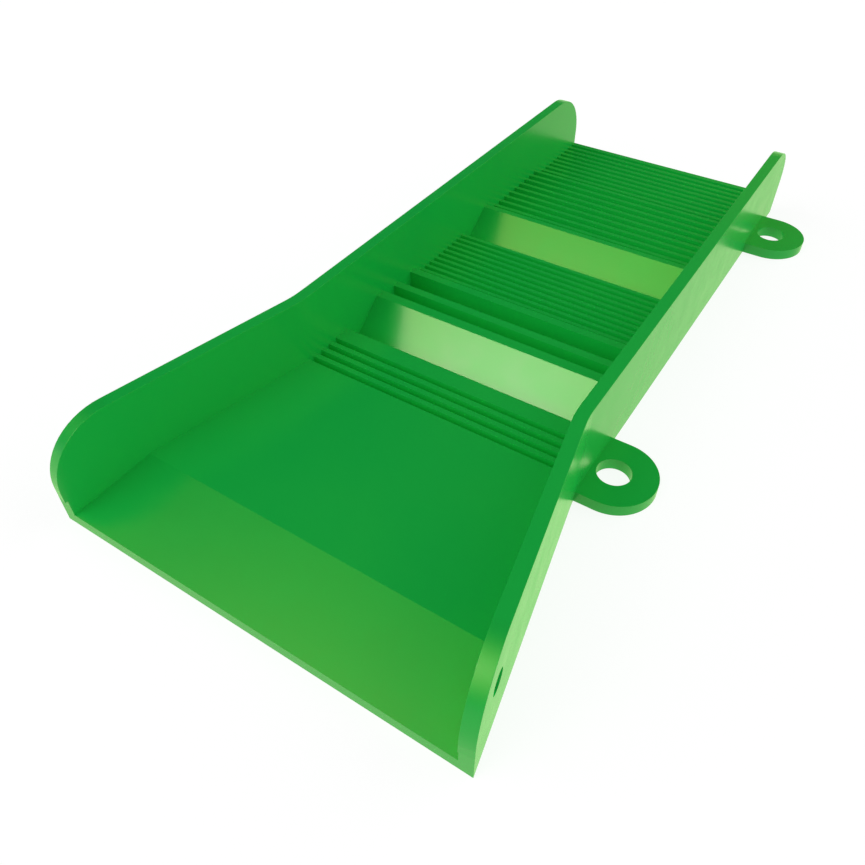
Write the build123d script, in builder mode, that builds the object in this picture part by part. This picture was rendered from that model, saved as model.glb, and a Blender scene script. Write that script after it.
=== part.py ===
from build123d import *
from math import atan2, cos, sin, tan
import os

# Pocket gold sluice: a flared intake scoop that leads into a straight, open, riffled channel.
# Millimetres. X runs across the tray, Y runs downstream and Z is up. The origin is on the ground,
# midway between the side walls and midway along the tray.

# Tray
LENGTH = 215.0  # lip to outlet
INTAKE_LENGTH = 63.5  # lip to the throat, where the flare ends
CHANNEL_WIDTH = 70.0  # between the walls
MOUTH_WIDTH = 95.0  # between the walls at the lip
WALL_HEIGHT = 25.0
WALL = 3.0
END_RADIUS = 15.0  # round top corner at each end of a wall
BEND_RADIUS = 25.0  # outside of the bend in plan
EDGE = 0.06  # softened edges of walls and lugs

# Bed
PLATE = 3.0  # base plate, and the front edge of the lip
FLOOR_TOP = 7.45  # intake floor and throat ribs
CREASE = 44.6  # where the lip's slope meets the floor, upstream of the throat
LAP = 4.0  # how far the base plate reaches in under the lip
CREST_TOP = 10.0
WEB = 1.0  # strip that joins the ribs of a block

# Bed joints
REBATE = 1.0  # how far the plate is let into each wall
KEY_LENGTH = 50.0  # tongue under each bed piece, let into the plate
KEY_WIDTH = 2.0
KEY_DEPTH = 1.0

# Lugs and holes
LUG_RADIUS = 10.0
LUG_REACH = 5.0  # wall's outer face to the hole's centre
LUG_INSET = 20.0  # outlet to the downstream hole
PEG_HOLE = 8.0
TENON = 14.0  # width of the tab that passes under the wall to the plate
TETHER_HOLE = 5.0
TETHER_INSET = 10.3  # from the wall's end to the hole's centre
TETHER_HEIGHT = 14.4

FLARE = atan2((MOUTH_WIDTH - CHANNEL_WIDTH) / 2, INTAKE_LENGTH)  # angle of the flared walls
LEAD = WALL * sin(FLARE)  # how far the square wall ends stand out ahead of the lip
OUTLET = (LENGTH + LEAD) / 2
MOUTH = OUTLET - LENGTH
THROAT = MOUTH + INTAKE_LENGTH

# Side profiles are drawn with their first coordinate as the distance downstream of the throat.
PROFILE_PLANE = Plane(origin=(0, THROAT, 0), x_dir=(0, 1, 0), z_dir=(1, 0, 0))
LOWER_LEFT = (Align.MIN, Align.MIN)

# Rib blocks: distance from the throat to the block and to its first rib, rib height above the ground,
# rib thickness, pitch and count, and how far the last rib runs on as a plain land.
RIB_BLOCKS = {
    "throat_riffle_block": dict(start=-0.2, first=1.4, top=FLOOR_TOP, rib=1.4, pitch=3.0, count=4, land=3.2),
    "fine_riffle_block": dict(start=49.55, first=49.55, top=6.8, rib=1.12, pitch=2.49, count=10, land=0.0),
    "middle_riffle_block": dict(start=91.9, first=91.9, top=7.8, rib=1.25, pitch=3.47, count=9, land=0.0),
    "outlet_riffle_block": dict(start=125.7, first=125.7, top=5.8, rib=1.4, pitch=2.99, count=9, land=0.48),
}
# Tall bars: distance from the throat to the upstream face.
RIFFLE_BARS = {"front_riffle_bar": 36.45, "rear_riffle_bar": 44.5}
BAR = 2.35
BAR_TOP = 8.7
# Ramps: distance from the throat to the foot, to the top of the slope and to the back of the crest.
RAMPS = {"upper_ramp": (19.75, 28.4, 31.4), "lower_ramp": (76.0, 85.8, 87.7)}


def half_width(gap):
    """Half of the channel's width, moved out by gap."""
    return CHANNEL_WIDTH / 2 + gap


def right_side(gap, lead=0.0):
    """Plan points of the right wall's inner face, moved out by gap, from ahead of the lip to the outlet."""
    return [
        (MOUTH_WIDTH / 2 + gap / cos(FLARE) + lead * tan(FLARE), MOUTH - lead),
        (half_width(gap), THROAT + gap * tan(FLARE / 2)),
        (half_width(gap), OUTLET),
    ]


def bends(sketch):
    """The corners of a plan that lie at the throat."""
    return sketch.vertices().filter_by(lambda corner: abs(corner.Y - THROAT) < WALL)


def tray_plan(gap):
    """Plan of the space between the side walls, moved out by gap."""
    right = right_side(gap)
    left = [(-x, y) for x, y in reversed(right)]
    with BuildSketch() as plan:
        with BuildLine():
            Polyline(*right, *left, close=True)
        make_face()
        fillet(bends(plan), BEND_RADIUS + WALL - gap)
    return plan.sketch


def wall_strip(lead):
    """Plan of the right wall, with its inner corner at the mouth set ahead of the lip by lead."""
    with BuildSketch() as strip:
        with BuildLine():
            Polyline(*right_side(0, lead), *reversed(right_side(WALL)), close=True)
        make_face()
        fillet(bends(strip).sort_by(Axis.X)[0], BEND_RADIUS + WALL)
        fillet(bends(strip).sort_by(Axis.X)[-1], BEND_RADIUS)
    return strip.sketch


def save(piece, name):
    """Name a finished piece and write its file."""
    piece.part.label = name
    export_step(piece.part, f"parts/{name}.step")


def key_station(start, end):
    """Middle of a bed piece, as a Y coordinate."""
    return THROAT + (start + end) / 2


def bed_piece(profile, start, end):
    """A side profile run across the tray between the walls, with a key under it."""
    with BuildPart() as piece:
        extrude(profile, amount=MOUTH_WIDTH / 2, both=True)
        extrude(tray_plan(0), amount=WALL_HEIGHT, mode=Mode.INTERSECT)
        with BuildSketch(Plane.XY.offset(PLATE)):
            with Locations((0, key_station(start, end))):
                Rectangle(KEY_LENGTH, KEY_WIDTH)
        extrude(amount=-KEY_DEPTH)
    return piece


def block_end(block):
    """Downstream end of a rib block, as a distance from the throat."""
    return block["first"] + (block["count"] - 1) * block["pitch"] + block["rib"] + block["land"]


os.makedirs("parts", exist_ok=True)
keys = []

# Intake floor: a flat slab from the crease to the first throat groove.
floor_end = RIB_BLOCKS["throat_riffle_block"]["start"]
with BuildSketch(PROFILE_PLANE) as floor_profile:
    with Locations((-CREASE, PLATE)):
        Rectangle(CREASE + floor_end, FLOOR_TOP - PLATE, align=LOWER_LEFT)
intake_floor = bed_piece(floor_profile.sketch, -CREASE, floor_end)
save(intake_floor, "intake_floor")
keys.append(key_station(-CREASE, floor_end))

# Rib blocks: thin ribs that stand on a common web.
for name, block in RIB_BLOCKS.items():
    end = block_end(block)
    with BuildSketch(PROFILE_PLANE) as rib_profile:
        for i in range(block["count"]):
            is_last = i == block["count"] - 1
            length = block["rib"] + (block["land"] if is_last else 0)
            with Locations((block["first"] + i * block["pitch"], PLATE)):
                Rectangle(length, block["top"] - PLATE, align=LOWER_LEFT)
        with Locations((block["start"], PLATE)):
            Rectangle(end - block["start"], WEB, align=LOWER_LEFT)
    save(bed_piece(rib_profile.sketch, block["start"], end), name)
    keys.append(key_station(block["start"], end))

# Tall riffle bars.
for name, front in RIFFLE_BARS.items():
    with BuildSketch(PROFILE_PLANE) as bar_profile:
        with Locations((front, PLATE)):
            Rectangle(BAR, BAR_TOP - PLATE, align=LOWER_LEFT)
    save(bed_piece(bar_profile.sketch, front, front + BAR), name)
    keys.append(key_station(front, front + BAR))

# Drop ramps: a slope, a narrow crest and an upright back.
for name, (foot, crest, back) in RAMPS.items():
    with BuildSketch(PROFILE_PLANE) as ramp_profile:
        with BuildLine():
            Polyline((foot, PLATE), (crest, CREST_TOP), (back, CREST_TOP), (back, PLATE), close=True)
        make_face()
    save(bed_piece(ramp_profile.sketch, foot, back), name)
    keys.append(key_station(foot, back))

# Intake lip: a wedge that rises from the front edge to the crease and laps over the base plate.
with BuildPart() as intake_lip:
    with BuildSketch(PROFILE_PLANE):
        with BuildLine():
            Polyline(
                (-INTAKE_LENGTH, 0),
                (-INTAKE_LENGTH, PLATE),
                (-CREASE, FLOOR_TOP),
                (-CREASE, PLATE),
                (-CREASE - LAP, PLATE),
                (-CREASE - LAP, 0),
                close=True,
            )
        make_face()
    extrude(amount=MOUTH_WIDTH / 2, both=True)
    extrude(tray_plan(0), amount=WALL_HEIGHT, mode=Mode.INTERSECT)
    with BuildSketch() as lip_foot:
        add(tray_plan(REBATE))
        with Locations((0, THROAT - CREASE - LAP)):
            Rectangle(2 * MOUTH_WIDTH, LENGTH, align=(Align.CENTER, Align.MIN), mode=Mode.SUBTRACT)
    extrude(amount=PLATE)
save(intake_lip, "intake_lip")

# Base plate: carries the bed, let into both walls, with a slot for each key.
with BuildPart() as base_plate:
    with BuildSketch():
        add(tray_plan(REBATE))
        with Locations((0, THROAT - CREASE - LAP)):
            Rectangle(2 * MOUTH_WIDTH, LENGTH, align=(Align.CENTER, Align.MAX), mode=Mode.SUBTRACT)
    extrude(amount=PLATE)
    with BuildSketch(Plane.XY.offset(PLATE)):
        with Locations(*[(0, key) for key in keys]):
            Rectangle(KEY_LENGTH, KEY_WIDTH)
    extrude(amount=-KEY_DEPTH, mode=Mode.SUBTRACT)
save(base_plate, "base_plate")

# Lugs: half-round ears with a peg hole, and a tenon that passes under the wall to the plate.
lug_x = half_width(WALL) + LUG_REACH
lug_stations = {"upstream": THROAT + LUG_RADIUS, "downstream": OUTLET - LUG_INSET}
tenon_centre = half_width((REBATE + WALL) / 2)
for place, station in lug_stations.items():
    with BuildPart() as lug:
        with BuildSketch():
            with Locations((lug_x, station)):
                Circle(LUG_RADIUS)
                Rectangle(LUG_REACH + REBATE, 2 * LUG_RADIUS, align=(Align.MAX, Align.CENTER))
            add(tray_plan(WALL), mode=Mode.SUBTRACT)
        extrude(amount=PLATE)
        rims = lug.faces().filter_by(Plane.XY).edges().filter_by(lambda rim: rim.center().X > lug_x)
        fillet(rims, EDGE)
        with BuildSketch():
            with Locations((tenon_centre, station)):
                Rectangle(WALL - REBATE, TENON)
        extrude(amount=PLATE)
        with Locations((lug_x, station, PLATE)):
            Hole(PEG_HOLE / 2)
    save(lug, f"right_{place}_lug")
    with BuildPart() as mirrored_lug:
        mirror(lug.part, about=Plane.YZ)
    save(mirrored_lug, f"left_{place}_lug")

# Side walls: bent at the throat, rounded at both top corners, rebated for the plate and the lip, and
# notched for the tenons. The mouth end is level with the lip up to the floor, and square above it.
with BuildPart() as side_panel:
    with BuildSketch(Plane.XY.offset(FLOOR_TOP)):
        add(wall_strip(LEAD))
    extrude(amount=WALL_HEIGHT - FLOOR_TOP)
    top_ends = side_panel.faces().sort_by(Axis.Z)[-1].edges().filter_by(lambda edge: edge.length < WALL + EDGE)
    fillet(top_ends, END_RADIUS)
    fillet(side_panel.faces().sort_by(Axis.Z)[-1].edges().filter_by(Axis.Y), EDGE)
    extrude(wall_strip(0), amount=FLOOR_TOP)
    extrude(tray_plan(REBATE), amount=PLATE, mode=Mode.SUBTRACT)
    with BuildSketch():
        with Locations(*[(tenon_centre, station) for station in lug_stations.values()]):
            Rectangle(WALL - REBATE, TENON)
    extrude(amount=PLATE, mode=Mode.SUBTRACT)

with BuildPart() as left_side_wall:
    mirror(side_panel.part, about=Plane.YZ)
save(left_side_wall, "left_side_wall")

# Only the right wall has the tether hole, square to its flared face.
end_x, end_y = right_side(0, LEAD)[0]
tether_plane = Plane(
    origin=(end_x - TETHER_INSET * sin(FLARE), end_y + TETHER_INSET * cos(FLARE), TETHER_HEIGHT),
    z_dir=(cos(FLARE), sin(FLARE), 0),
)
with BuildPart() as right_side_wall:
    add(side_panel.part)
    with BuildSketch(tether_plane):
        Circle(TETHER_HOLE / 2)
    extrude(amount=WALL, both=True, mode=Mode.SUBTRACT)
save(right_side_wall, "right_side_wall")
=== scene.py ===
import math

import bpy
from mathutils import Euler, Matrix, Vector

# Pocket gold sluice in moulded green plastic, on a plain pale floor in soft studio light.
# Metres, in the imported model's frame: +X across the tray, +Y downstream, +Z up.

GREEN = (0.0075, 0.400, 0.0520)
GREEN_PALE = (0.0098, 0.412, 0.0520)
GREEN_DEEP = (0.0054, 0.388, 0.0520)
ROUGHNESS = 0.23
ROUGHNESS_SPREAD = 0.03
IOR = 1.5
# Noise patterns in the tray's own coordinates: scale per metre, detail, roughness of the pattern.
CLOUDS = (22.0, 3.0, 0.5)
HAZE = (160.0, 4.0, 0.6)
GRAIN = (2400.0, 2.0, 0.5)
# The span of a noise that carries the variation.
NOISE_SPAN = (0.3, 0.7)
GRAIN_STRENGTH = 0.03
GRAIN_DEPTH = 0.00005

# Soft light from all round, a white backdrop, and what the gloss mirrors: a dark room with softboxes.
AMBIENT = 0.1
BACKDROP = 1.0
DARK_ROOM = 0.02
# The horizon's glow fades into the dark room between two heights, given as the sine of elevation.
HORIZON_GLOW = 0.7
HORIZON_BASE = -0.1
HORIZON_TOP = 0.3
# Softboxes: azimuth from +Y towards +X, elevation, roll, half width, half height, radiance, its limit.
KEY_SOFTBOX = (207.0, 46.4, 26.7, 15.6, 21.2, 12.6, 10.8)
SIDE_SOFTBOX = (75.0, 35.0, 0.0, 60.0, 20.0, 1.3, 1.3)
# How fast a softbox fades across its edge: 2 is a bell curve, and more is sharper.
SOFTBOX_EDGE = 1.77
# Green and blue of a softbox follow its red: a factor and a power each.
SOFTBOX_GREEN = (1.27, 0.82)
SOFTBOX_BLUE = (0.09, 1.89)

# Matt lights, which the gloss doesn't mirror: azimuth from +Y towards +X, elevation, irradiance.
# Wide ones cast soft shadows, and fills cast none.
WIDE_LIGHTS = {
    "front_light": (180, 50, 0.40),
    "left_front_light": (225, 20, 0.37),
    "right_back_light": (45, 20, 0.42),
}
WIDE_LIGHT_SPREAD = 70  # degrees
FILLS = {
    "back_fill": (0, 5, 0.67),
    "right_fill": (90, 5, 0.21),
    "left_fill": (270, 5, 0.22),
}

# Floor: own shade and lift to the camera, then what the matt and the glossy surfaces get from it.
FLOOR_SIZE = 6.0
FLOOR_DROP = 0.00005
FLOOR_SHADE = 0.2
FLOOR_LIFT = 0.85
FLOOR_BOUNCE = 0.78
FLOOR_MIRRORED = (0.73, 1.05, 0.50)

WHITE = (1.0, 1.0, 1.0)
TINY = 1e-6  # keeps a division away from zero

# Camera: place, turn about X, Y and Z in radians, then focal length and sensor width in millimetres.
CAMERA_PLACE = (0.0732, -0.1547, 0.1315)
CAMERA_TURN = (0.7932, -0.0009, 0.5756)
CAMERA_LENS = 32.6
CAMERA_SENSOR = 36.0
CAMERA_NEAREST = 0.005


def node(tree, kind, inputs=None, **settings):
    """Add a node, with settings for its properties and values or links for its inputs."""
    made = tree.nodes.new(kind)
    for name, value in settings.items():
        setattr(made, name, value)
    for name, value in (inputs or {}).items():
        if isinstance(value, bpy.types.NodeSocket):
            tree.links.new(value, made.inputs[name])
        else:
            made.inputs[name].default_value = value
    return made


def math_node(tree, operation, *values):
    """Add a math node and return its output."""
    return node(tree, "ShaderNodeMath", dict(enumerate(values)), operation=operation).outputs[0]


def colour(rgb):
    """Add a full alpha to a colour."""
    return (*rgb, 1.0)


def noise(tree, place, pattern):
    """Add a noise texture and return its value."""
    scale, detail, roughness = pattern
    inputs = {"Vector": place, "Scale": scale, "Detail": detail, "Roughness": roughness}
    return node(tree, "ShaderNodeTexNoise", inputs).outputs["Fac"]


def green_plastic():
    """Moulded plastic: cloudy green, a faint grain and a soft gloss."""
    material = bpy.data.materials.new("moulded_green_plastic")
    material.use_nodes = True
    tree = material.node_tree
    tree.nodes.clear()
    place = node(tree, "ShaderNodeTexCoord").outputs["Object"]

    ramp = node(tree, "ShaderNodeValToRGB", {"Fac": noise(tree, place, CLOUDS)})
    deep, pale = ramp.color_ramp.elements
    deep.position, pale.position = NOISE_SPAN
    deep.color = colour(GREEN_DEEP)
    pale.color = colour(GREEN_PALE)
    middle = ramp.color_ramp.elements.new(sum(NOISE_SPAN) / 2)
    middle.color = colour(GREEN)

    roughness = node(
        tree,
        "ShaderNodeMapRange",
        {
            "Value": noise(tree, place, HAZE),
            "From Min": NOISE_SPAN[0],
            "From Max": NOISE_SPAN[1],
            "To Min": ROUGHNESS - ROUGHNESS_SPREAD,
            "To Max": ROUGHNESS + ROUGHNESS_SPREAD,
        },
    )
    bump = node(
        tree,
        "ShaderNodeBump",
        {"Height": noise(tree, place, GRAIN), "Strength": GRAIN_STRENGTH, "Distance": GRAIN_DEPTH},
    )

    shader = node(
        tree,
        "ShaderNodeBsdfPrincipled",
        {
            "Base Color": ramp.outputs["Color"],
            "Roughness": roughness.outputs["Result"],
            "IOR": IOR,
            "Normal": bump.outputs["Normal"],
        },
    )
    node(tree, "ShaderNodeOutputMaterial", {"Surface": shader.outputs["BSDF"]})
    return material


def pale_floor():
    """Matt white floor with only a faint contact shade, evenly bright to the light that leaves it."""
    material = bpy.data.materials.new("pale_floor")
    material.use_nodes = True
    material.cycles.emission_sampling = "NONE"
    tree = material.node_tree
    tree.nodes.clear()
    rays = node(tree, "ShaderNodeLightPath")
    shade = node(tree, "ShaderNodeBsdfDiffuse", {"Color": colour((FLOOR_SHADE,) * 3)})
    lift = node(tree, "ShaderNodeEmission", {"Strength": FLOOR_LIFT})
    seen = node(tree, "ShaderNodeAddShader", {0: shade.outputs[0], 1: lift.outputs[0]})
    bounce = node(tree, "ShaderNodeEmission", {"Strength": FLOOR_BOUNCE})
    mirrored = node(tree, "ShaderNodeEmission", {"Color": colour(FLOOR_MIRRORED)})
    lit = node(
        tree,
        "ShaderNodeMixShader",
        {0: rays.outputs["Is Diffuse Ray"], 1: seen.outputs[0], 2: bounce.outputs[0]},
    )
    whole = node(
        tree,
        "ShaderNodeMixShader",
        {0: rays.outputs["Is Glossy Ray"], 1: lit.outputs[0], 2: mirrored.outputs[0]},
    )
    node(tree, "ShaderNodeOutputMaterial", {"Surface": whole.outputs[0]})
    return material


def toward(azimuth, elevation):
    """Unit vector for an azimuth from +Y towards +X and an elevation, in degrees."""
    azimuth = math.radians(azimuth)
    elevation = math.radians(elevation)
    flat = math.cos(elevation)
    return Vector((flat * math.sin(azimuth), flat * math.cos(azimuth), math.sin(elevation)))


def softbox_glow(tree, direction, softbox):
    """Radiance of a softbox with blurred edges, wider along one of its axes."""
    azimuth, elevation, roll, half_width, half_height, radiance, limit = softbox
    aim = toward(azimuth, elevation)
    across = toward(azimuth + 90, 0)
    downward = aim.cross(across)
    roll = math.radians(roll)
    wide = across * math.cos(roll) + downward * math.sin(roll)
    tall = downward * math.cos(roll) - across * math.sin(roll)

    def along(axis):
        product = node(tree, "ShaderNodeVectorMath", {0: direction, 1: axis}, operation="DOT_PRODUCT")
        return product.outputs["Value"]

    def squared(value):
        return math_node(tree, "MULTIPLY", value, value)

    off_axis = math_node(tree, "ARCCOSINE", along(aim))
    wide_part = along(wide)
    tall_part = along(tall)
    sine = math_node(tree, "SQRT", math_node(tree, "ADD", squared(wide_part), squared(tall_part)))
    spread = math_node(tree, "DIVIDE", off_axis, math_node(tree, "MAXIMUM", sine, TINY))

    def reached(part, half_size):
        angle = math_node(tree, "MULTIPLY", part, spread)
        return math_node(tree, "MULTIPLY", angle, 1 / math.radians(half_size))

    x = reached(wide_part, half_width)
    y = reached(tall_part, half_height)
    reach = math_node(tree, "POWER", math_node(tree, "ADD", squared(x), squared(y)), SOFTBOX_EDGE / 2)
    fall = math_node(tree, "EXPONENT", math_node(tree, "MULTIPLY", reach, -1.0))
    return math_node(tree, "MINIMUM", math_node(tree, "MULTIPLY", fall, radiance), limit)


def studio_light():
    """Even light, a white backdrop, and a dark room with two softboxes and a bright horizon to mirror."""
    world = bpy.data.worlds.new("studio")
    world.use_nodes = True
    world.cycles.sampling_method = "NONE"
    tree = world.node_tree
    tree.nodes.clear()
    direction = node(tree, "ShaderNodeTexCoord").outputs["Generated"]

    key = softbox_glow(tree, direction, KEY_SOFTBOX)
    red = math_node(tree, "ADD", key, softbox_glow(tree, direction, SIDE_SOFTBOX))
    green = math_node(tree, "MULTIPLY", math_node(tree, "POWER", red, SOFTBOX_GREEN[1]), SOFTBOX_GREEN[0])
    blue = math_node(tree, "MULTIPLY", math_node(tree, "POWER", red, SOFTBOX_BLUE[1]), SOFTBOX_BLUE[0])
    softbox = node(tree, "ShaderNodeCombineXYZ", {0: red, 1: green, 2: blue}).outputs[0]

    height = node(tree, "ShaderNodeSeparateXYZ", {0: direction}).outputs["Z"]
    room = node(
        tree,
        "ShaderNodeMapRange",
        {
            "Value": height,
            "From Min": HORIZON_BASE,
            "From Max": HORIZON_TOP,
            "To Min": HORIZON_GLOW,
            "To Max": DARK_ROOM,
        },
        interpolation_type="SMOOTHSTEP",
    ).outputs["Result"]

    mirrored = node(tree, "ShaderNodeVectorMath", {0: softbox, 1: room}, operation="ADD").outputs[0]
    rays = node(tree, "ShaderNodeLightPath")
    even = node(tree, "ShaderNodeBackground", {"Strength": AMBIENT, "Color": colour(WHITE)})
    backdrop = node(tree, "ShaderNodeBackground", {"Strength": BACKDROP, "Color": colour(WHITE)})
    room_light = node(tree, "ShaderNodeBackground", {"Color": mirrored})
    matt = node(
        tree,
        "ShaderNodeMixShader",
        {0: rays.outputs["Is Camera Ray"], 1: even.outputs[0], 2: backdrop.outputs[0]},
    )
    both = node(
        tree,
        "ShaderNodeMixShader",
        {0: rays.outputs["Is Glossy Ray"], 1: matt.outputs[0], 2: room_light.outputs[0]},
    )
    node(tree, "ShaderNodeOutputWorld", {"Surface": both.outputs[0]})
    bpy.context.scene.world = world


def matt_light(name, azimuth, elevation, irradiance):
    """A distant light that the gloss doesn't mirror."""
    data = bpy.data.lights.new(name, "SUN")
    data.energy = irradiance * math.pi
    light = bpy.data.objects.new(name, data)
    light.rotation_euler = toward(azimuth, elevation).to_track_quat("Z", "Y").to_euler()
    light.visible_glossy = False
    bpy.context.scene.collection.objects.link(light)
    return data


def matt_lights():
    """The wide lights and the fills."""
    for name, aim in WIDE_LIGHTS.items():
        matt_light(name, *aim).angle = math.radians(WIDE_LIGHT_SPREAD)
    for name, aim in FILLS.items():
        matt_light(name, *aim).use_shadow = False


def floor():
    """The plain pale floor that the tray lies on."""
    half = FLOOR_SIZE / 2
    mesh = bpy.data.meshes.new("floor")
    corners = [(-half, -half, 0), (half, -half, 0), (half, half, 0), (-half, half, 0)]
    mesh.from_pydata(corners, [], [(0, 1, 2, 3)])
    made = bpy.data.objects.new("floor", mesh)
    made.location.z = -FLOOR_DROP
    made.data.materials.append(pale_floor())
    bpy.context.scene.collection.objects.link(made)


def camera():
    """Above the right wall's mouth end, looking down the tray."""
    data = bpy.data.cameras.new("camera")
    data.lens = CAMERA_LENS
    data.sensor_width = CAMERA_SENSOR
    data.clip_start = CAMERA_NEAREST
    made = bpy.data.objects.new("camera", data)
    made.location = CAMERA_PLACE
    made.rotation_euler = Euler(CAMERA_TURN)
    bpy.context.scene.collection.objects.link(made)
    bpy.context.scene.camera = made


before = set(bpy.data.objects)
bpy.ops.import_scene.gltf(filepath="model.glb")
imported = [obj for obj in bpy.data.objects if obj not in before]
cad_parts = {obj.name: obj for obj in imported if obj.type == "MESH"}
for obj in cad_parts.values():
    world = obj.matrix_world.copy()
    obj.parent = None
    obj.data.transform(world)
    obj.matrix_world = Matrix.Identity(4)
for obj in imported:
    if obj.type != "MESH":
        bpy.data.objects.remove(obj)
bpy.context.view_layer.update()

plastic = green_plastic()
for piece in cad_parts.values():
    piece.data.materials.clear()
    piece.data.materials.append(plastic)

studio_light()
matt_lights()
floor()
camera()
bpy.context.scene.view_settings.view_transform = "Standard"
